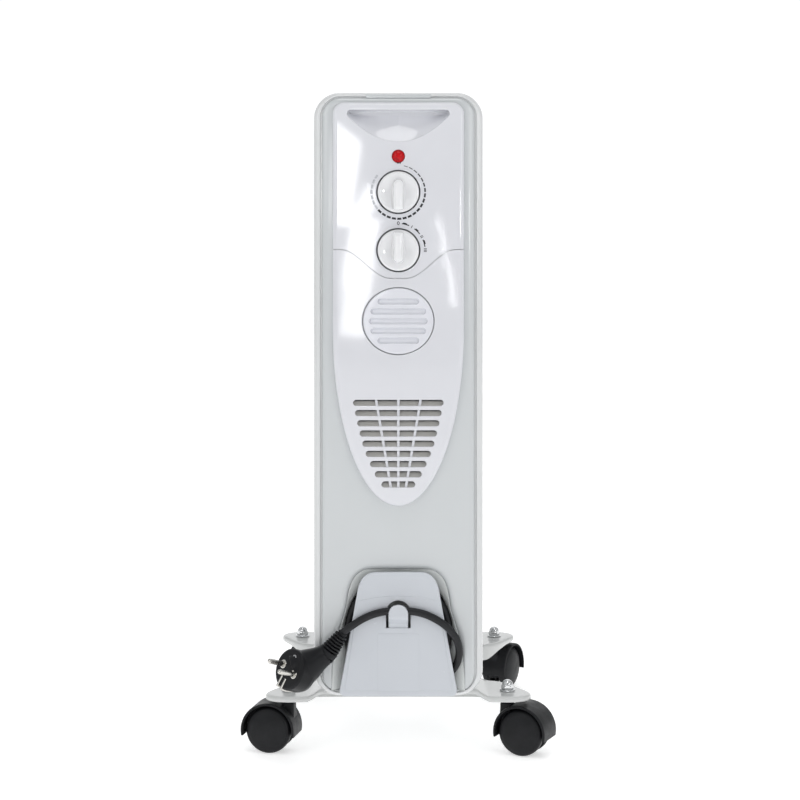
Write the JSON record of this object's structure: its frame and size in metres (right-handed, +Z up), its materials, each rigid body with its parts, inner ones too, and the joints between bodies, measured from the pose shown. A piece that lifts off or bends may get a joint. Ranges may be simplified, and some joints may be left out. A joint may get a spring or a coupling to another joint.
{
  "type": "oil filled radiator heater",
  "caption": "Upright oil filled radiator heater: pressed fins behind a control box with two dials, a pilot lamp and cord storage, on twin-wheel swivel casters.",
  "frame": {"origin": "on the floor, under the middle of the heater's box measured without the cord", "axes": "+Z up, the control panel faces -Y, +X to the right of a person who looks at the panel"},
  "size_m": [0.3094, 0.4023, 0.6405],
  "materials": {
    "body_paint": "gloss enamel",
    "fin_paint": "satin enamel",
    "bracket_paint": "satin enamel",
    "panel_plastic": "gloss moulded ABS",
    "inner_plastic": "matt moulded nylon",
    "black_nylon": "satin moulded nylon",
    "black_bakelite": "matt moulding",
    "cord_pvc": "satin PVC",
    "zinc_steel": "zinc plated",
    "chrome_plate": "polished",
    "brass": "turned",
    "lamp_red": "clear red moulding",
    "lamp_glass": "clear glass"
  },
  "bodies": {
    "heater": {"fin_1": "fin_paint", "fin_2": "fin_paint", "fin_3": "fin_paint", "fin_4": "fin_paint", "fin_5": "fin_paint", "fin_6": "fin_paint", "fin_7": "fin_paint", "casing": "body_paint", "front_cover": "body_paint", "upper_panel": "panel_plastic", "lower_panel": "panel_plastic", "round_grille": "panel_plastic", "cord_pocket": "panel_plastic", "storage_cover": "panel_plastic", "terminal_block": "inner_plastic", "selector_switch": "inner_plastic", "front_bracket": "bracket_paint", "rear_bracket": "bracket_paint", "heating_element": "zinc_steel", "heat_shield": "zinc_steel", "front_u_bolt": "zinc_steel", "rear_u_bolt": "zinc_steel", "wing_nut_front_left": "zinc_steel", "wing_nut_front_right": "zinc_steel", "wing_nut_rear_left": "zinc_steel", "wing_nut_rear_right": "zinc_steel", "caster_stem_front_left": "zinc_steel", "caster_stem_front_right": "zinc_steel", "caster_stem_rear_left": "zinc_steel", "caster_stem_rear_right": "zinc_steel", "dome_nut_front_left": "chrome_plate", "dome_nut_front_right": "chrome_plate", "dome_nut_rear_left": "chrome_plate", "dome_nut_rear_right": "chrome_plate", "oil_filler_plug": "brass", "thermal_cutout": "black_bakelite", "thermostat_body": "black_bakelite", "cord_gland": "cord_pvc", "cord_coil": "cord_pvc", "cord_lead": "cord_pvc", "plug": "cord_pvc", "plug_boot": "cord_pvc", "lamp_lens": "lamp_red", "neon_lamp": "lamp_glass"},
    "thermostat_dial": {"thermostat_knob": "panel_plastic", "thermostat_shaft": "zinc_steel"},
    "selector_dial": {"selector_knob": "panel_plastic", "selector_shaft": "zinc_steel"},
    "caster_front_left": {"caster_hood_front_left": "black_nylon"},
    "wheel_front_left_a": {"caster_wheel_front_left_a": "black_nylon"},
    "wheel_front_left_b": {"caster_wheel_front_left_b": "black_nylon"},
    "caster_front_right": {"caster_hood_front_right": "black_nylon"},
    "wheel_front_right_a": {"caster_wheel_front_right_a": "black_nylon"},
    "wheel_front_right_b": {"caster_wheel_front_right_b": "black_nylon"},
    "caster_rear_left": {"caster_hood_rear_left": "black_nylon"},
    "wheel_rear_left_a": {"caster_wheel_rear_left_a": "black_nylon"},
    "wheel_rear_left_b": {"caster_wheel_rear_left_b": "black_nylon"},
    "caster_rear_right": {"caster_hood_rear_right": "black_nylon"},
    "wheel_rear_right_a": {"caster_wheel_rear_right_a": "black_nylon"},
    "wheel_rear_right_b": {"caster_wheel_rear_right_b": "black_nylon"}
  },
  "joints": [
    {"name": "thermostat_turn", "type": "hinge", "parent": "heater", "child": "thermostat_dial", "pos_m": [0, -0.18, 0.5461], "axis": [0, 1, 0], "range_deg": [0, 285]},
    {"name": "selector_turn", "type": "hinge", "parent": "heater", "child": "selector_dial", "pos_m": [0, -0.18, 0.4914], "axis": [0, 1, 0], "range_deg": [0, 90]},
    {"name": "swivel_front_left", "type": "hinge", "parent": "heater", "child": "caster_front_left", "pos_m": [-0.107, -0.1065, 0.05], "axis": [0, 0, 1], "continuous": true},
    {"name": "spin_front_left_a", "type": "hinge", "parent": "caster_front_left", "child": "wheel_front_left_a", "pos_m": [-0.12461, -0.10276, 0.0225], "axis": [-0.2079, -0.9781, 0], "continuous": true},
    {"name": "spin_front_left_b", "type": "hinge", "parent": "caster_front_left", "child": "wheel_front_left_b", "pos_m": [-0.12461, -0.10276, 0.0225], "axis": [-0.2079, -0.9781, 0], "continuous": true},
    {"name": "swivel_front_right", "type": "hinge", "parent": "heater", "child": "caster_front_right", "pos_m": [0.107, -0.1065, 0.05], "axis": [0, 0, 1], "continuous": true},
    {"name": "spin_front_right_a", "type": "hinge", "parent": "caster_front_right", "child": "wheel_front_right_a", "pos_m": [0.12331, -0.11411, 0.0225], "axis": [0.4226, 0.9063, 0], "continuous": true},
    {"name": "spin_front_right_b", "type": "hinge", "parent": "caster_front_right", "child": "wheel_front_right_b", "pos_m": [0.12331, -0.11411, 0.0225], "axis": [0.4226, 0.9063, 0], "continuous": true},
    {"name": "swivel_rear_left", "type": "hinge", "parent": "heater", "child": "caster_rear_left", "pos_m": [-0.107, 0.1455, 0.05], "axis": [0, 0, 1], "continuous": true},
    {"name": "spin_rear_left_a", "type": "hinge", "parent": "caster_rear_left", "child": "wheel_rear_left_a", "pos_m": [-0.098, 0.16109, 0.0225], "axis": [-0.866, 0.5, 0], "continuous": true},
    {"name": "spin_rear_left_b", "type": "hinge", "parent": "caster_rear_left", "child": "wheel_rear_left_b", "pos_m": [-0.098, 0.16109, 0.0225], "axis": [-0.866, 0.5, 0], "continuous": true},
    {"name": "swivel_rear_right", "type": "hinge", "parent": "heater", "child": "caster_rear_right", "pos_m": [0.107, 0.1455, 0.05], "axis": [0, 0, 1], "continuous": true},
    {"name": "spin_rear_right_a", "type": "hinge", "parent": "caster_rear_right", "child": "wheel_rear_right_a", "pos_m": [0.11556, 0.16133, 0.0225], "axis": [-0.8796, 0.4756, 0], "continuous": true},
    {"name": "spin_rear_right_b", "type": "hinge", "parent": "caster_rear_right", "child": "wheel_rear_right_b", "pos_m": [0.11556, 0.16133, 0.0225], "axis": [-0.8796, 0.4756, 0], "continuous": true}
  ]
}
